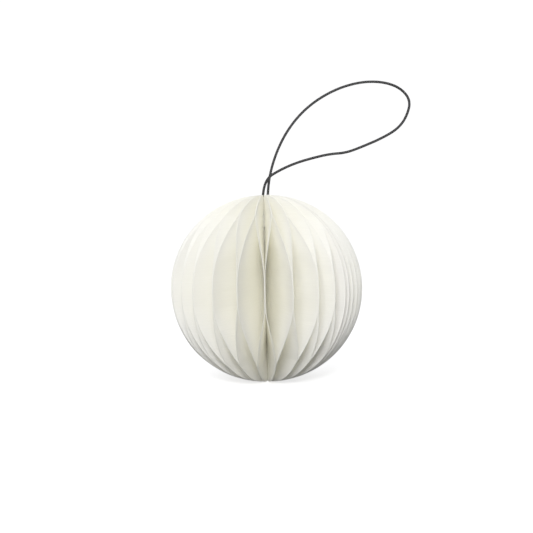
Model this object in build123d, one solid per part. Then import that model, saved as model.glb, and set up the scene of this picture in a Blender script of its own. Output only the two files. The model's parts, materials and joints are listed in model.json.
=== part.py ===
"""A paper honeycomb ball on a cord loop: half-disc paper leaves that open like a book, right round their
spines, until two covers meet and their magnets hold them. Millimetres, +Z up along the ball's axis, origin
at the top pole, where the cord comes out. Angles go round from -Y, the front, towards +X."""
from build123d import *
import os
from math import cos, pi, radians, sin, tan

# Driving dimensions
LEAF_RADIUS = 48.5          # half disc, from the middle of its straight edge
PAPER = 0.16                # thickness of an inner leaf
COVER = 0.40                # thickness of a cover
LEAF_GAP = 0.02             # between neighbouring leaves at their spines
SEAM_GAP = 0.05             # between the two covers at their spines
SEAM_ANGLE = 54.1           # where the covers meet, degrees round from the front
COVER_LEAN = 1.7            # each cover stands this far back from the seam, degrees
# How far each cell is open, in degrees, going round from the seam. A cell is the space between two
# places where neighbouring leaves are glued at mid height. Cells stay narrow beside the stiff covers.
CELL_WIDTHS = [6.2, 6.1, 6.5, 8, 11, 14.5, 16.7, 16.7, 16.7, 16.7, 16.7, 16.7, 16.7, 16.7, 16, 15.5,
               15.5, 15, 11.5, 15, 15.5, 15.5, 15.95, 15.75, 11.8, 11.1]
# The core, hollow along the axis
NECK_RELIEF = 1.4           # cut from each leaf's straight edge at the top, for the cord
NECK_DEPTH = 9.0
POCKET_RELIEF = 2.6         # and below it, for the knot
POCKET_DEPTH = 9.0
POCKET_SLOPE = 1.5          # height of the pocket's sloping ends
# Paper sleeve between the leaves and the cord's hidden end
SLEEVE_WALL = 0.15
SLEEVE_NECK_RADIUS = 2.45   # outside
SLEEVE_POCKET_RADIUS = 3.7
SLEEVE_TOP = -1.0           # from the top pole
SLEEVE_SHOULDER = -9.4      # where it starts to widen over the knot
SLEEVE_FOOT = -16.3
# Magnets
MAGNET_RADIUS = 3.0
MAGNET_THICKNESS = 1.0
MAGNET_REACH = 39.0         # from the spine
MAGNET_HEIGHT = 14.0        # above and below mid height
# Cord
CORD_DIAMETER = 1.5
KNOT_RADIUS = 3.2
KNOT_HEIGHT = 4.8
KNOT_ROUNDING = 0.9
# The loop's route, from the knot up the left strand, round and down the right strand
CORD_ROUTE = [
    (-1.4, -0.4, -10.5), (-1.4, -0.4, -3.0), (0.6, -1.9, 8.6), (7.6, -1.6, 12.8), (16.5, -1.1, 16.4),
    (26.2, -0.6, 19.0), (34.6, -0.3, 20.7), (42.0, -0.1, 21.0), (51.5, 0.1, 24.4), (61.4, 0.3, 28.4),
    (70.0, 0.6, 33.2), (75.8, 0.9, 39.4), (77.8, 1.2, 47.8), (72.2, 1.5, 54.8), (62.4, 1.8, 58.2),
    (50.0, 1.9, 58.2), (36.0, 2.0, 53.6), (22.8, 1.9, 45.2), (12.4, 1.8, 34.2), (5.4, 1.7, 20.4),
    (1.4, 0.4, 4.0), (1.4, 0.4, -10.5)]


def around(angle):
    """Unit vector that points out from the axis at this angle."""
    return Vector(sin(radians(angle)), -cos(radians(angle)), 0)


def sideways(angle):
    """Unit vector square to around(angle), towards growing angles: a leaf's thickness runs along it."""
    return Vector(cos(radians(angle)), sin(radians(angle)), 0)


def leaf_angles():
    """Where each leaf stands: the covers first and last, two leaves to a cell, a quarter in from its sides."""
    angles = []
    start = SEAM_ANGLE
    for width in CELL_WIDTHS:
        angles += [start + width / 4, start + width * 3 / 4]
        start += width
    angles[0] = SEAM_ANGLE + COVER_LEAN
    angles[-1] = SEAM_ANGLE + 360 - COVER_LEAN
    return angles


def spine_points(angles, thicknesses):
    """The points that the leaves hinge on: leaf k lies between points k and k + 1. Each leaf also steps
    in or out along itself by a few hundredths, so that unevenly opened leaves still close into a ring."""
    seam_step = sideways(SEAM_ANGLE) * SEAM_GAP
    steps = [sideways(a) * (t + LEAF_GAP) for a, t in zip(angles, thicknesses)]
    miss = seam_step + sum(steps, Vector(0, 0, 0))
    outs = [around(a) for a in angles]
    xx = sum(o.X * o.X for o in outs)
    xy = sum(o.X * o.Y for o in outs)
    yy = sum(o.Y * o.Y for o in outs)
    fix_x = -(yy * miss.X - xy * miss.Y) / (xx * yy - xy * xy)
    fix_y = -(xx * miss.Y - xy * miss.X) / (xx * yy - xy * xy)
    points = [Vector(0, 0, 0)]
    for step, out in zip(steps, outs):
        points.append(points[-1] + step + out * (out.X * fix_x + out.Y * fix_y))
    middle = sum(points[:-1], Vector(0, 0, 0)) / len(steps)
    return [p - middle for p in points]


def leaf_outline():
    """Half disc in local X (out) and Y (up). Its straight edge, on X = 0, is cut back for the neck and the
    knot's pocket."""
    r = LEAF_RADIUS
    pocket_top = r - NECK_DEPTH
    pocket_foot = pocket_top - POCKET_DEPTH
    neck_top = (r * r - NECK_RELIEF * NECK_RELIEF) ** 0.5
    with BuildLine() as line:
        rim = ThreePointArc((0, -r), (r, 0), (NECK_RELIEF, neck_top))
        Polyline(
            rim @ 1,
            (NECK_RELIEF, pocket_top),
            (POCKET_RELIEF, pocket_top - POCKET_SLOPE),
            (POCKET_RELIEF, pocket_foot + POCKET_SLOPE),
            (0, pocket_foot),
            rim @ 0,
        )
    return make_face(line.line)


def upright_plane(angle, start, end):
    """The plane of a leaf's middle: X out along the leaf, Y up, Z through its thickness."""
    centre = (start + end) * 0.5 - Vector(0, 0, LEAF_RADIUS)
    return Plane(origin=centre, x_dir=around(angle), z_dir=sideways(angle) * -1)


def make_leaf(outline, plane, thickness):
    return extrude(plane * outline, thickness / 2, both=True)


def make_magnet(plane, side, height):
    """A disc on a cover's outer face; side is +1 or -1 through the cover's thickness."""
    middle = side * (COVER + MAGNET_THICKNESS) / 2
    return plane * Pos(MAGNET_REACH, height, middle) * Cylinder(MAGNET_RADIUS, MAGNET_THICKNESS)


def cord_radii():
    """One bend radius for each inner point of the route, as large as its two runs allow."""
    route = [Vector(*p) for p in CORD_ROUTE]
    radii = []
    for before, here, after in zip(route, route[1:], route[2:]):
        turn = radians((here - before).get_angle(after - here))
        shorter = min((here - before).length, (after - here).length)
        radii.append(0.45 * shorter / tan(turn / 2))
    return radii


def make_cord():
    radii = cord_radii()
    path = FilletPolyline(*CORD_ROUTE, radius=radii)
    section = Plane(origin=path @ 0, z_dir=path % 0) * Circle(CORD_DIAMETER / 2)
    tube = sweep(section, path=path)
    print("cord bend radii", [round(r, 1) for r in radii])
    print("cord length", round(path.length, 1))
    print("cord volume", round(tube.volume, 2), "section x length",
          round(pi * CORD_DIAMETER ** 2 / 4 * path.length, 2))
    return tube


def make_knot():
    """The two ends tied together: a round knot with a flat top that the strands come out of."""
    body = Cylinder(KNOT_RADIUS, KNOT_HEIGHT)
    body = fillet(body.edges().filter_by(GeomType.CIRCLE), KNOT_ROUNDING)
    return Pos(0, 0, CORD_ROUTE[0][2] - KNOT_HEIGHT / 2) * body


def make_sleeve():
    """A tube round both strands that widens round the knot."""
    knee = SLEEVE_SHOULDER - POCKET_SLOPE
    outside = [(SLEEVE_NECK_RADIUS, SLEEVE_TOP), (SLEEVE_NECK_RADIUS, SLEEVE_SHOULDER),
               (SLEEVE_POCKET_RADIUS, knee), (SLEEVE_POCKET_RADIUS, SLEEVE_FOOT)]
    inside = [(radius - SLEEVE_WALL, height) for radius, height in reversed(outside)]
    wall = make_face(Plane.XZ * Polyline(*outside, *inside, close=True))
    return revolve(wall, axis=Axis.Z)


def save(shape, name):
    shape.label = name
    export_step(shape, f"parts/{name}.step")


def main():
    os.makedirs("parts", exist_ok=True)
    angles = leaf_angles()
    last = len(angles) - 1
    thicknesses = [COVER if k in (0, last) else PAPER for k in range(len(angles))]
    points = spine_points(angles, thicknesses)
    outline = leaf_outline()
    for k, angle in enumerate(angles):
        plane = upright_plane(angle, points[k], points[k + 1])
        name = {0: "cover_right", last: "cover_left"}.get(k, f"leaf_{k:02d}")
        save(make_leaf(outline, plane, thicknesses[k]), name)
        if k in (0, last):
            side = 1 if k == 0 else -1
            for place, height in (("upper", MAGNET_HEIGHT), ("lower", -MAGNET_HEIGHT)):
                save(make_magnet(plane, side, height), f"magnet_{name.split('_')[1]}_{place}")
    save(make_cord(), "hanging_cord")
    save(make_knot(), "cord_knot")
    save(make_sleeve(), "cord_sleeve")


main()
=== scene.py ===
"""The paper honeycomb ball's looks. Metres, +Z up along the ball's axis, origin at its top pole, -Y the front.
Angles go round from the front towards +X."""
import json
import math
from collections import namedtuple
import bmesh
import bpy
from mathutils import Matrix, Vector, noise

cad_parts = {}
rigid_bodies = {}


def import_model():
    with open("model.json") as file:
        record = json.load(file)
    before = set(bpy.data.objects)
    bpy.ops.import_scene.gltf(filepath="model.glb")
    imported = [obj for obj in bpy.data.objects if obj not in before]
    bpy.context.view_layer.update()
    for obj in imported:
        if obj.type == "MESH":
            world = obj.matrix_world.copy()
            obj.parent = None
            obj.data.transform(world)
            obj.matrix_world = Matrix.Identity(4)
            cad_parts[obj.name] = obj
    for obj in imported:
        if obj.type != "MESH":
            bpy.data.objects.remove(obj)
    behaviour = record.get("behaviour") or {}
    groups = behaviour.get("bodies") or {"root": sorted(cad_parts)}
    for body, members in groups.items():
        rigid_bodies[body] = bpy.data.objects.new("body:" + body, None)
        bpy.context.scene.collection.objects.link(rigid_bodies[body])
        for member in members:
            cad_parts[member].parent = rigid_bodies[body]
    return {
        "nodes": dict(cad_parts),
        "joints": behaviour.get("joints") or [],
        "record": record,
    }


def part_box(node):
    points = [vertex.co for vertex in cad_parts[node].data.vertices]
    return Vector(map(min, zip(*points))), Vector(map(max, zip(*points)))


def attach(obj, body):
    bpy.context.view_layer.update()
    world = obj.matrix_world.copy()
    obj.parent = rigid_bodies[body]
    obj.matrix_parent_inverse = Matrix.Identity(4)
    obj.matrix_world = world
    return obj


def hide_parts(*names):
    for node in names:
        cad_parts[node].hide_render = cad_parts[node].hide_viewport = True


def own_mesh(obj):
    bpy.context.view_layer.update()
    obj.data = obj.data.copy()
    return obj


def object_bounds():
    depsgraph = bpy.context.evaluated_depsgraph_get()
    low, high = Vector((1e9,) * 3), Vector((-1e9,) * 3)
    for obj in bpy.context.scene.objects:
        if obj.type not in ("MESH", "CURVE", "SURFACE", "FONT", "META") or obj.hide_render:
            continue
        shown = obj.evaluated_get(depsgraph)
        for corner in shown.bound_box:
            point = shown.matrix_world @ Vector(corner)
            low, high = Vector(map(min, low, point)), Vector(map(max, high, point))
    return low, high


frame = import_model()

cad_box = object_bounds()

MM = 0.001
RADIUS = 48.5 * MM              # of a leaf's half disc
MIDDLE = Vector((0, 0, -RADIUS))
PAPER = 0.16 * MM
COVER = 0.40 * MM
GLUE = 0.02 * MM                # between two leaves where they are glued
# Each leaf's straight edge is cut back for the cord's neck and the knot's pocket
NECK_RELIEF = 1.4 * MM
NECK_DEPTH = 9.0 * MM
POCKET_RELIEF = 2.6 * MM
POCKET_DEPTH = 9.0 * MM
POCKET_SLOPE = 1.5 * MM
CORD_DIAMETER = 1.5 * MM

# ------------------------------------------------------------------ camera

CAMERA_DISTANCE = 12 * RADIUS
CAMERA_HEIGHT = math.radians(3.5)
CAMERA_ROLL = math.radians(1.24)
AIM_ABOVE_MIDDLE = 11.2 * MM
SENSOR = 36
LENS = 75.2


def make_camera():
    out = Vector((0, -math.cos(CAMERA_HEIGHT), math.sin(CAMERA_HEIGHT)))
    right = Vector((0, 0, 1)).cross(out).normalized()
    up = out.cross(right)
    level, tip = math.cos(CAMERA_ROLL), math.sin(CAMERA_ROLL)
    right, up = right * level - up * tip, up * level + right * tip
    place = MIDDLE + up * AIM_ABOVE_MIDDLE + out * CAMERA_DISTANCE
    data = bpy.data.cameras.new("camera")
    data.lens = LENS
    data.sensor_width = SENSOR
    camera = bpy.data.objects.new("camera", data)
    bpy.context.scene.collection.objects.link(camera)
    turn = Matrix((right, up, out)).transposed().to_4x4()
    camera.matrix_world = Matrix.Translation(place) @ turn
    bpy.context.scene.camera = camera


make_camera()

# --------------------------------------------------------------- materials

# Noise for the paper, on flat millimetres: a small factor draws it out along that axis, of out and up
RIB_STRETCH = (0.05, 1.5, 1)
FIBRE_STRETCH = (0.9, 2.6, 1)
CLOUD_SCALE = 0.09
RIB_DEPTH = 0.1 * MM
FIBRE_DEPTH = 0.05 * MM
PAPER_SHEEN = 0.06
# Noise for the cord and the magnets, on metres
CORD_FIBRE_SCALE = 2600.0
CORD_WEAR_SCALE = 160.0
CORD_FIBRE_DEPTH = 0.03 * MM
CORD_SHEEN = 0.12
BRUSH_SCALE = 900.0
BRUSH_DEPTH = 0.01 * MM
WHITE = (1, 1, 1)


def new_material(name):
    material = bpy.data.materials.new(name)
    material.use_nodes = True
    tree = material.node_tree
    return material, tree, tree.nodes["Principled BSDF"]


def node(tree, kind, **values):
    """A new node. Values name its sockets, or its own settings."""
    made = tree.nodes.new(kind)
    for key, value in values.items():
        if key in made.inputs:
            made.inputs[key].default_value = value
        else:
            setattr(made, key, value)
    return made


def noise_field(tree, coords, scale, detail, stretch=(1, 1, 1)):
    """Noise on stretched coordinates."""
    mapping = node(tree, "ShaderNodeMapping", Scale=stretch)
    field = node(tree, "ShaderNodeTexNoise", Scale=scale, Detail=detail)
    tree.links.new(coords, mapping.inputs["Vector"])
    tree.links.new(mapping.outputs["Vector"], field.inputs["Vector"])
    return field.outputs["Fac"]


def ramp(tree, value, stops):
    """The value turned into a colour, between stops of (value, colour)."""
    made = node(tree, "ShaderNodeValToRGB")
    elements = made.color_ramp.elements
    while len(elements) < len(stops):
        elements.new(0.5)
    for element, (place, colour) in zip(elements, stops):
        element.position = place
        element.color = (*colour, 1)
    tree.links.new(value, made.inputs["Fac"])
    return made.outputs["Color"]


def multiply(tree, a, b):
    mix = node(tree, "ShaderNodeMix", data_type="RGBA", blend_type="MULTIPLY")
    mix.inputs["Factor"].default_value = 1.0
    tree.links.new(a, mix.inputs["A"])
    tree.links.new(b, mix.inputs["B"])
    return mix.outputs["Result"]


def roughen(tree, shader, value, low, high):
    """Roughness from low to high as the value goes from 0 to 1."""
    rough = node(tree, "ShaderNodeMapRange")
    rough.inputs["To Min"].default_value = low
    rough.inputs["To Max"].default_value = high
    tree.links.new(value, rough.inputs["Value"])
    tree.links.new(rough.outputs["Result"], shader.inputs["Roughness"])


def bump(tree, shader, heights):
    """Chains bumps of (height socket, distance in metres) into a shader's normal."""
    before = None
    for height, distance in heights:
        made = node(tree, "ShaderNodeBump", Strength=1.0, Distance=distance)
        tree.links.new(height, made.inputs["Height"])
        if before is not None:
            tree.links.new(before.outputs["Normal"], made.inputs["Normal"])
        before = made
    tree.links.new(before.outputs["Normal"], shader.inputs["Normal"])


def paper_material(name, light, dark, see_through, unrolled=True):
    """Laid paper: fine ribs along the leaf, fibres, faint clouds. Its share see_through lets light pass.
    Unrolled paper has UVs in flat millimetres."""
    material, tree, shader = new_material(name)
    if unrolled:
        flat = node(tree, "ShaderNodeUVMap", uv_map="flat").outputs["UV"]
    else:
        scale = node(tree, "ShaderNodeVectorMath", operation="SCALE")
        scale.inputs["Scale"].default_value = 1 / MM
        tree.links.new(node(tree, "ShaderNodeTexCoord").outputs["Object"], scale.inputs[0])
        flat = scale.outputs["Vector"]
    ribs = noise_field(tree, flat, 1.0, 1.0, RIB_STRETCH)
    fibres = noise_field(tree, flat, 1.0, 4.0, FIBRE_STRETCH)
    clouds = noise_field(tree, flat, CLOUD_SCALE, 2.0)
    tone = ramp(tree, clouds, [(0.3, dark), (0.7, light)])
    rib_tone = ramp(tree, ribs, [(0.35, (0.978, 0.978, 0.975)), (0.65, WHITE)])
    fibre_tone = ramp(tree, fibres, [(0.3, (0.992, 0.991, 0.989)), (0.7, WHITE)])
    colour = multiply(tree, multiply(tree, tone, rib_tone), fibre_tone)
    tree.links.new(colour, shader.inputs["Base Color"])
    roughen(tree, shader, fibres, 0.82, 0.96)
    shader.inputs["Specular IOR Level"].default_value = PAPER_SHEEN
    bump(tree, shader, [(ribs, RIB_DEPTH), (fibres, FIBRE_DEPTH)])
    if see_through:
        glow = node(tree, "ShaderNodeBsdfTranslucent")
        tree.links.new(colour, glow.inputs["Color"])
        mix = node(tree, "ShaderNodeMixShader", Fac=see_through)
        tree.links.new(shader.outputs["BSDF"], mix.inputs[1])
        tree.links.new(glow.outputs["BSDF"], mix.inputs[2])
        tree.links.new(mix.outputs["Shader"], tree.nodes["Material Output"].inputs["Surface"])
    return material


def cord_material():
    """Dark waxed cord: fine fibres, a little wear and a soft sheen."""
    material, tree, shader = new_material("waxed_cord")
    place = node(tree, "ShaderNodeTexCoord").outputs["Object"]
    fibres = noise_field(tree, place, CORD_FIBRE_SCALE, 3.0)
    wear = noise_field(tree, place, CORD_WEAR_SCALE, 2.0)
    tone = ramp(tree, wear, [(0.3, (0.002, 0.002, 0.0023)), (0.7, (0.005, 0.0048, 0.0053))])
    fleck = ramp(tree, fibres, [(0.35, (0.8, 0.8, 0.8)), (0.7, (1.15, 1.13, 1.12))])
    tree.links.new(multiply(tree, tone, fleck), shader.inputs["Base Color"])
    roughen(tree, shader, fibres, 0.34, 0.6)
    shader.inputs["Specular IOR Level"].default_value = CORD_SHEEN
    bump(tree, shader, [(fibres, CORD_FIBRE_DEPTH)])
    return material


def magnet_material():
    """Brushed nickel plate."""
    material, tree, shader = new_material("nickel_plate")
    place = node(tree, "ShaderNodeTexCoord").outputs["Object"]
    brushed = noise_field(tree, place, BRUSH_SCALE, 3.0)
    tone = ramp(tree, brushed, [(0.3, (0.52, 0.51, 0.49)), (0.7, (0.66, 0.65, 0.63))])
    tree.links.new(tone, shader.inputs["Base Color"])
    shader.inputs["Metallic"].default_value = 1.0
    roughen(tree, shader, brushed, 0.22, 0.38)
    bump(tree, shader, [(brushed, BRUSH_DEPTH)])
    return material


leaf_paper = paper_material("leaf_paper", (0.999, 0.996, 0.972), (0.995, 0.991, 0.962), 0.45)
cover_paper = paper_material("cover_paper", (0.95, 0.94, 0.908), (0.93, 0.92, 0.885), 0.25)
sleeve_paper = paper_material("sleeve_paper", (0.62, 0.60, 0.54), (0.57, 0.55, 0.49), 0, unrolled=False)
waxed_cord = cord_material()
nickel = magnet_material()

# -------------------------------------------------------------------- cord

# The loop's route in millimetres, from the knot up the left strand, round and down the right strand
CORD_ROUTE = [
    (-1.4, -0.4, -10.5), (-1.4, -0.4, -3.0), (0.7, -1.9, 8.2), (7.8, -1.6, 12.5), (16.5, -1.1, 16.2),
    (26.2, -0.6, 18.8), (34.6, -0.3, 20.5), (42.8, -0.1, 20.9), (51.5, 0.1, 24.0), (61.4, 0.3, 28.0),
    (70.0, 0.6, 32.8), (74.7, 0.9, 39.1), (76.9, 1.2, 47.3), (71.6, 1.5, 54.0), (62.2, 1.8, 57.4),
    (50.0, 1.9, 57.4), (36.2, 2.0, 53.3), (22.9, 1.9, 45.1), (12.8, 1.8, 33.9), (5.7, 1.7, 20.2),
    (1.4, 0.4, 4.0), (1.4, 0.4, -10.5)]
# The knot's lumps: two winding ridges. Its mean size and the ridges' height are shares of its box.
KNOT_WINDS = 2
KNOT_PITCH = 2.5 * math.pi
KNOT_SWELL = 0.90
KNOT_RIDGE = 0.09
KNOT_STEPS = 72                 # round it
KNOT_RINGS = 48                 # down it


def make_cord():
    curve = bpy.data.curves.new("hanging_loop", "CURVE")
    curve.dimensions = "3D"
    spline = curve.splines.new("NURBS")
    spline.points.add(len(CORD_ROUTE) - 1)
    for point, place in zip(spline.points, CORD_ROUTE):
        point.co = (*(Vector(place) * MM), 1)
    spline.order_u = 3
    spline.use_endpoint_u = True
    spline.resolution_u = 16
    curve.bevel_depth = CORD_DIAMETER / 2
    curve.bevel_resolution = 5
    curve.use_fill_caps = True
    curve.materials.append(waxed_cord)
    cord = bpy.data.objects.new("hanging_loop", curve)
    bpy.context.scene.collection.objects.link(cord)
    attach(cord, "root")
    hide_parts("hanging_cord")
    return cord


def make_object(name, mesh, material):
    mesh.materials.append(material)
    made = bpy.data.objects.new(name, mesh)
    bpy.context.scene.collection.objects.link(made)
    return made


def join_rings(shape, rings):
    """Smooth faces from each ring of vertices to the next. A ring of one vertex is a pole."""
    steps = max(len(ring) for ring in rings)
    for one, other in zip(rings, rings[1:]):
        for n in range(steps):
            after = (n + 1) % steps
            back = [one[0]] if len(one) == 1 else [one[after], one[n]]
            ahead = [other[0]] if len(other) == 1 else [other[n], other[after]]
            shape.faces.new([*back, *ahead]).smooth = True


def make_knot():
    """The two ends tied in an overhand knot, pulled tight: a lumpy ball of crossing turns."""
    low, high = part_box("cord_knot")
    middle = (low + high) / 2
    half = (high - low) / 2
    turns = [2 * math.pi * n / KNOT_STEPS for n in range(KNOT_STEPS)]
    shape = bmesh.new()
    rings = []
    for m in range(KNOT_RINGS + 1):
        fall = math.pi * m / KNOT_RINGS
        ring = []
        for turn in turns if 0 < m < KNOT_RINGS else [0]:
            x, y, z = math.sin(fall) * math.cos(turn), math.sin(fall) * math.sin(turn), math.cos(fall)
            swell = KNOT_SWELL + KNOT_RIDGE * math.cos(KNOT_PITCH * z + KNOT_WINDS * turn)
            ring.append(shape.verts.new(middle + Vector((x * half.x, y * half.y, z * half.z)) * swell))
        rings.append(ring)
    join_rings(shape, rings)
    mesh = bpy.data.meshes.new("end_knot")
    shape.to_mesh(mesh)
    shape.free()
    knot = make_object("end_knot", mesh, waxed_cord)
    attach(knot, "root")
    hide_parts("cord_knot")
    return knot


cord = make_cord()
knot = make_knot()

# ------------------------------------------------------------------ leaves

LEAVES = ["cover_right"] + [f"leaf_{k:02d}" for k in range(1, 51)] + ["cover_left"]
BODY_OF = {n: body for body, nodes in frame["record"]["behaviour"]["bodies"].items() for n in nodes}
# Heights are shares of the radius, from -1 at the bottom pole to 1 at the top. Two leaves are glued
# together round mid height at their cell's side, and towards both poles at their cell's middle.
SIDE_TOP = 0.14
SIDE_FOOT = -0.18
CROWN_FOOT = 0.77
TAIL_TOP = -0.73
UPPER_BEND = 1.85               # above 1 the edge bows like an arch, 1 is straight
LOWER_BEND = 1.3
# Where the front cells' glue differs: the top and the foot of a cell's first side
SIDES = {18: (0.16, -0.11), 19: (0.17, -0.14), 20: (0.17, -0.13), 21: (0.15, -0.095), 22: (0.12, -0.12),
         23: (0.13, -0.145), 24: (0.13, -0.165), 25: (0.13, -0.12)}
# and at its middle: the crown's foot, the tail's top, and each one's lean towards growing angles, in degrees
MIDDLES = {18: (0.80, -0.81, 0.0, 1.0), 19: (0.79, -0.795, 0.0, 2.0), 20: (0.82, -0.73, 0.0, 0.5),
           21: (0.80, -0.755, 0.0, 0.0), 22: (0.80, -0.72, 0.0, 0.0), 23: (0.79, -0.69, -2.5, 1.0)}
SIDE_SPREAD = (0.03, 0.04)      # how far a side's top and foot differ from cell to cell
MIDDLE_SPREAD = 0.05            # how far a crown's foot and a tail's top do
LEAN_SPREAD = 1.2               # and their leans, in degrees
WANDER = math.radians(0.35)     # how far a glued line strays from straight
BULGE = math.radians(0.45)      # how far a free stretch bows
ROWS = 84
COLUMNS = 15
ROW_CLEARANCE = 0.006           # a row this near a kink gives way to it
FLAT_SHIFT = (61, 17)           # from one leaf's flat UVs to the next one's, so that no two leaves are alike


def out(angle):
    """Unit vector that points out from the axis at this angle."""
    return Vector((math.sin(angle), -math.cos(angle), 0))


def across(angle):
    """Unit vector square to out(angle), towards growing angles."""
    return Vector((math.cos(angle), math.sin(angle), 0))


def leaf_angle(name):
    """The angle at which a packed leaf stands, read from its mesh."""
    points = [v.co for v in frame["nodes"][name].data.vertices]
    foot = min(p.z for p in points)
    feet = [p for p in points if p.z < foot + 1e-6]
    spine = sum(feet, Vector()) / len(feet)
    middle = sum(points, Vector()) / len(points)
    away = middle - spine
    return math.atan2(away.x, -away.y)


def leaf_angles():
    """All leaves' angles, growing from the right cover round to the left one."""
    angles = [leaf_angle(name) for name in LEAVES]
    for k in range(1, len(angles)):
        while angles[k] < angles[k - 1]:
            angles[k] += 2 * math.pi
    return angles


def hinge_points():
    """The point between leaf k - 1 and leaf k, by k."""
    number = {BODY_OF[name]: k for k, name in enumerate(LEAVES)}
    found = {}
    for joint in frame["joints"]:
        place = Vector(joint["pos_m"])
        found[max(number[joint["parent"]], number[joint["child"]])] = Vector((place.x, place.y, 0))
    return found


angles = leaf_angles()
hinges = hinge_points()
last = len(LEAVES) - 1

# The glue between two leaves. A cell's side is joined between top and foot, a cell's middle outside them.
Bond = namedtuple("Bond", "angle lean_up lean_down is_side top foot")


def make_bond(k):
    """The bond between leaf k - 1 and leaf k. Its spread is noise, so it is the same in each run. The plain
    numbers only pick places in the noise."""
    draw = [noise.noise(Vector((k * 3.17, 11.3 + n * 5.9, 0.5))) for n in range(4)]
    cell = k // 2
    if k % 2 == 0:
        angle = angles[k - 1] + (angles[k - 1] - angles[k - 2]) / 2
        if cell == 1:           # leaf 0 is a cover, which stands by itself, so the next cell's leaves serve
            angle = angles[k] - (angles[k + 1] - angles[k]) / 2
        top, foot = SIDES.get(cell, (SIDE_TOP + SIDE_SPREAD[0] * draw[1],
                                     SIDE_FOOT + SIDE_SPREAD[1] * draw[0]))
        return Bond(angle, 0.0, 0.0, True, top, foot)
    crown, tail, lean_up, lean_down = MIDDLES.get(
        cell, (CROWN_FOOT + MIDDLE_SPREAD * draw[0], TAIL_TOP + MIDDLE_SPREAD * draw[1],
               LEAN_SPREAD * draw[2], LEAN_SPREAD * draw[3]))
    if k in (1, last):          # a cover's bond lies flat on it
        return Bond(angles[0] if k == 1 else angles[last], 0.0, 0.0, False, crown, tail)
    angle = (angles[k - 1] + angles[k]) / 2
    return Bond(angle, math.radians(lean_up), math.radians(lean_down), False, crown, tail)


def stray(k, height, reach):
    """How far bond k strays sideways at this height and share of the radius. The covers are flat."""
    if k in (1, last):
        return 0.0
    return WANDER * noise.noise(Vector((k * 7.31, height * 2.4, reach * 1.7)))


def bond_angle(k, height, reach):
    """Bond k's angle at this height and share of the radius. It leans and strays a little from upright."""
    bond = bonds[k]
    if height > 0:
        lean = bond.lean_up * min(1.0, height / CROWN_FOOT)
    else:
        lean = bond.lean_down * min(1.0, height / TAIL_TOP)
    return bond.angle + lean + stray(k, height, reach)


def bend(share, power, depth):
    """How far the leaf has crossed from its side bond to its middle one. Its rim turns sharply there, its
    inside softly. Depth is 0 at the spine and 1 at the rim."""
    share = min(1.0, share)
    soft = share * share * (3 - 2 * share)
    return soft + (share ** power - soft) * depth


def leaf_point(k, height, reach):
    """A point of leaf k's middle surface. Height and reach are shares of the radius."""
    side, middle = (bonds[k], bonds[k + 1]) if bonds[k].is_side else (bonds[k + 1], bonds[k])
    depth = min(1.0, reach / math.sqrt(max(1e-6, 1 - height * height)))
    if height > side.top:
        share = bend((height - side.top) / (middle.top - side.top), UPPER_BEND, depth)
    elif height < side.foot:
        share = bend((side.foot - height) / (side.foot - middle.foot), LOWER_BEND, depth)
    else:
        share = 0.0
    to_high = 1 - share if side is bonds[k + 1] else share
    angle_low = bond_angle(k, height, reach)
    angle_high = bond_angle(k + 1, height, reach)
    angle = angle_low + (angle_high - angle_low) * to_high
    free = 4 * share * (1 - share)
    angle += BULGE * free * noise.noise(Vector((k * 5.3, height * 3.1, reach * 2.3 + 40)))
    offset = (PAPER + GLUE) / 2
    root_low = hinges[k] + across(angle_low) * offset
    root_high = hinges[k + 1] - across(angle_high) * offset
    root = root_low + (root_high - root_low) * to_high
    return root + out(angle) * (reach * RADIUS) + Vector((0, 0, (height - 1) * RADIUS))


# The leaf's straight edge, as (depth below the top pole, how far it is cut back there)
POCKET_FOOT = NECK_DEPTH + POCKET_DEPTH
INNER_EDGE = [(0, NECK_RELIEF), (NECK_DEPTH, NECK_RELIEF), (NECK_DEPTH + POCKET_SLOPE, POCKET_RELIEF),
              (POCKET_FOOT - POCKET_SLOPE, POCKET_RELIEF), (POCKET_FOOT, 0), (2 * RADIUS, 0)]


def inner_edge(height):
    """How far the leaf's straight edge is cut back at this height, as a share of the radius."""
    depth = (1 - height) * RADIUS
    for (d0, r0), (d1, r1) in zip(INNER_EDGE, INNER_EDGE[1:]):
        if depth <= d1:
            return (r0 + (r1 - r0) * (depth - d0) / (d1 - d0)) / RADIUS
    return 0.0


def row_heights(kinks):
    """Rows crowd towards the poles, and one lies on each kink and on each corner of the straight edge."""
    top = math.sqrt(1 - (NECK_RELIEF / RADIUS) ** 2)
    corners = [1 - depth / RADIUS for depth, _ in INNER_EDGE[1:-1]]
    kinks = kinks + [h for h in corners if all(abs(h - kink) > ROW_CLEARANCE for kink in kinks)]
    rows = [-math.cos(math.pi * n / ROWS) for n in range(ROWS + 1)]
    rows = [h for h in rows if h < top and all(abs(h - kink) > ROW_CLEARANCE for kink in kinks)]
    return sorted(rows + kinks + [top])


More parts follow.
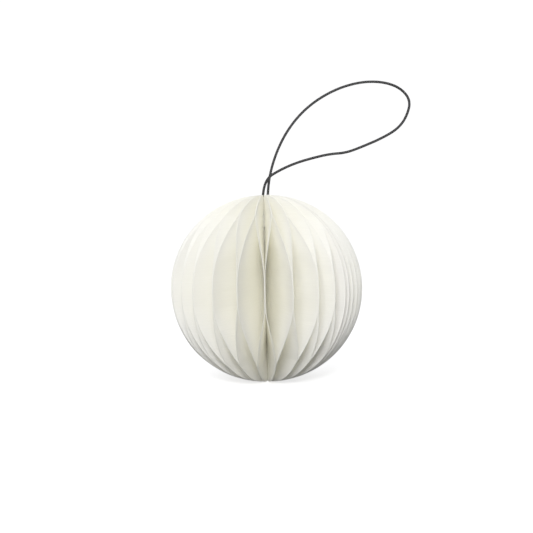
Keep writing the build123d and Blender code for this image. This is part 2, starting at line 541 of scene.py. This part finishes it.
def sheet_mesh(name, place, kinks, shift):
    """A half-disc mesh. place(height, reach) gives its points. Its flat UVs are in millimetres."""
    shape = bmesh.new()
    flat = shape.loops.layers.uv.new("flat")
    rows = []
    for height in row_heights(kinks):
        start = inner_edge(height)
        end = max(start, math.sqrt(max(0.0, 1 - height * height)))
        reaches = [start + (end - start) * n / COLUMNS for n in range(COLUMNS + 1)]
        if end - start < 1e-4:          # the row has shrunk to a point, at a pole
            reaches = [start]
        rows.append([(shape.verts.new(place(height, reach)), (reach, height)) for reach in reaches])
    for below, above in zip(rows, rows[1:]):
        if len(below) == 1:
            faces = [(below[0], above[n + 1], above[n]) for n in range(len(above) - 1)]
        elif len(above) == 1:
            faces = [(below[n], below[n + 1], above[0]) for n in range(len(below) - 1)]
        else:
            faces = [(below[n], below[n + 1], above[n + 1], above[n]) for n in range(COLUMNS)]
        for corners in faces:
            face = shape.faces.new([vertex for vertex, _ in corners])
            face.smooth = True
            for loop, (_, spot) in zip(face.loops, corners):
                loop[flat].uv = [share * RADIUS / MM + shift * step for share, step in zip(spot, FLAT_SHIFT)]
    for edge in shape.edges:
        edge.smooth = not edge.is_boundary
    mesh = bpy.data.meshes.new(name)
    shape.to_mesh(mesh)
    shape.free()
    return mesh


def thicken(piece, thickness):
    solid = piece.modifiers.new("thickness", "SOLIDIFY")
    solid.thickness = thickness
    solid.offset = 0
    solid.use_even_offset = False


def make_leaf(k):
    """A paper leaf, bent between its two bonds."""
    kinks = sorted({end for bond in (bonds[k], bonds[k + 1]) for end in (bond.top, bond.foot)})
    mesh = sheet_mesh(f"paper_{k:02d}", lambda h, r: leaf_point(k, h, r), kinks, k)
    leaf = make_object(f"paper_{k:02d}", mesh, leaf_paper)
    name = LEAVES[k]
    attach(leaf, BODY_OF[name])
    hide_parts(name)
    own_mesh(leaf)
    thicken(leaf, PAPER)


def make_cover(k):
    """A stiff flat cover that hinges on the leaf next to it."""
    name = LEAVES[k]
    outward = out(angles[k])
    hinge, sign = (hinges[1], -1) if k == 0 else (hinges[last], 1)
    root = hinge + across(angles[k]) * (sign * COVER / 2)

    def place(height, reach):
        return root + outward * (reach * RADIUS) + Vector((0, 0, (height - 1) * RADIUS))

    mesh = sheet_mesh(f"board_{name}", place, [], k + 3)
    cover = make_object(f"board_{name}", mesh, cover_paper)
    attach(cover, BODY_OF[name])
    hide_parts(name)
    thicken(cover, COVER)
    soft = cover.modifiers.new("soft_edge", "BEVEL")
    soft.width = 0.08 * MM
    soft.segments = 2


bonds = {k: make_bond(k) for k in range(1, last + 1)}
for k in range(1, last):
    make_leaf(k)
for k in (0, last):
    make_cover(k)

# The CAD's own shapes serve as they are for the sleeve and the magnets
OWN_SHAPES = {"cord_sleeve": sleeve_paper, "magnet_left_upper": nickel, "magnet_left_lower": nickel,
              "magnet_right_upper": nickel, "magnet_right_lower": nickel}
for name, material in OWN_SHAPES.items():
    materials = frame["nodes"][name].data.materials
    materials.clear()
    materials.append(material)

# ---------------------------------------------------------- floor and light

FLOOR_RADII = (0.0, 0.3, 0.6, 0.9)  # of its flat rings
FLOOR_STEPS = 96                # round it
SWEEP = 0.9                     # the floor's edge bends up in a quarter circle of this radius
SWEEP_STEPS = 24
FLOOR_GLOW = 0.6
# Each light's place, diameter in metres and power in watts. They all point at the ball's middle. Light reaches
# the depths of the cells only from near the front.
LIGHTS = {
    "key": ((-0.24, -1.0, 0.40), 0.35, 4.0),
    "front": ((0.0, -1.0, 0.36), 0.22, 5.1),
    "top": ((-0.10, -0.50, 0.90), 0.6, 1.0),
}
# The sky's colours, from straight down at 0 to straight up at 1
SKY = [(0.0, (0.06, 0.06, 0.06)), (0.45, (0.14, 0.142, 0.148)), (0.6, (0.36, 0.365, 0.378)),
       (1.0, (0.58, 0.585, 0.6))]


def make_floor():
    """A round floor under the ball that sweeps up into a pale backdrop on all sides."""
    profile = [(radius, 0.0) for radius in FLOOR_RADII]
    for n in range(1, SWEEP_STEPS + 1):
        turn = math.pi / 2 * n / SWEEP_STEPS
        profile.append((FLOOR_RADII[-1] + SWEEP * math.sin(turn), SWEEP * (1 - math.cos(turn))))
    turns = [2 * math.pi * n / FLOOR_STEPS for n in range(FLOOR_STEPS)]
    floor_z = cad_box[0][2]
    shape = bmesh.new()
    rings = []
    for radius, rise in profile:
        if radius == 0:
            rings.append([shape.verts.new((0, 0, floor_z))])
            continue
        rings.append([shape.verts.new((radius * math.cos(turn), radius * math.sin(turn), floor_z + rise))
                      for turn in turns])
    join_rings(shape, rings)
    mesh = bpy.data.meshes.new("floor")
    shape.to_mesh(mesh)
    shape.free()
    material, tree, shader = new_material("studio_floor")
    place = node(tree, "ShaderNodeTexCoord").outputs["Object"]
    clouds = noise_field(tree, place, 6.0, 2.0)
    tone = ramp(tree, clouds, [(0.3, (0.9, 0.9, 0.9)), (0.7, (0.92, 0.92, 0.92))])
    tree.links.new(tone, shader.inputs["Base Color"])
    shader.inputs["Roughness"].default_value = 0.9
    shader.inputs["Emission Color"].default_value = (*WHITE, 1)
    shader.inputs["Emission Strength"].default_value = FLOOR_GLOW
    floor = make_object("floor", mesh, material)
    # A white floor that lit the ball from below would hide the lower cells' shading
    floor.visible_diffuse = False
    floor.visible_transmission = False


def make_light(name, place, size, power):
    data = bpy.data.lights.new(name, "AREA")
    data.shape = "DISK"
    data.size = size
    data.energy = power
    light = bpy.data.objects.new(name, data)
    bpy.context.scene.collection.objects.link(light)
    light.location = place
    light.rotation_euler = (MIDDLE - Vector(place)).to_track_quat("-Z", "Y").to_euler()


def make_world(scene):
    """A sky that is dim below and brighter above."""
    scene.world = bpy.data.worlds.new("studio")
    scene.world.use_nodes = True
    tree = scene.world.node_tree
    direction = node(tree, "ShaderNodeTexCoord").outputs["Generated"]
    rise = node(tree, "ShaderNodeSeparateXYZ")
    tree.links.new(direction, rise.inputs["Vector"])
    share = node(tree, "ShaderNodeMapRange")
    share.inputs["From Min"].default_value = -1.0
    tree.links.new(rise.outputs["Z"], share.inputs["Value"])
    colour = ramp(tree, share.outputs["Result"], SKY)
    tree.links.new(colour, tree.nodes["Background"].inputs["Color"])


make_floor()
for name, (place, size, power) in LIGHTS.items():
    make_light(name, place, size, power)

scene = bpy.context.scene
make_world(scene)
# Light gets deep into a cell only after many bounces off its paper
scene.cycles.max_bounces = 40
scene.cycles.diffuse_bounces = 32
scene.cycles.transmission_bounces = 32
scene.view_settings.view_transform = "Standard"
scene.view_settings.gamma = 1.5         # a high-key picture, with its shades lifted
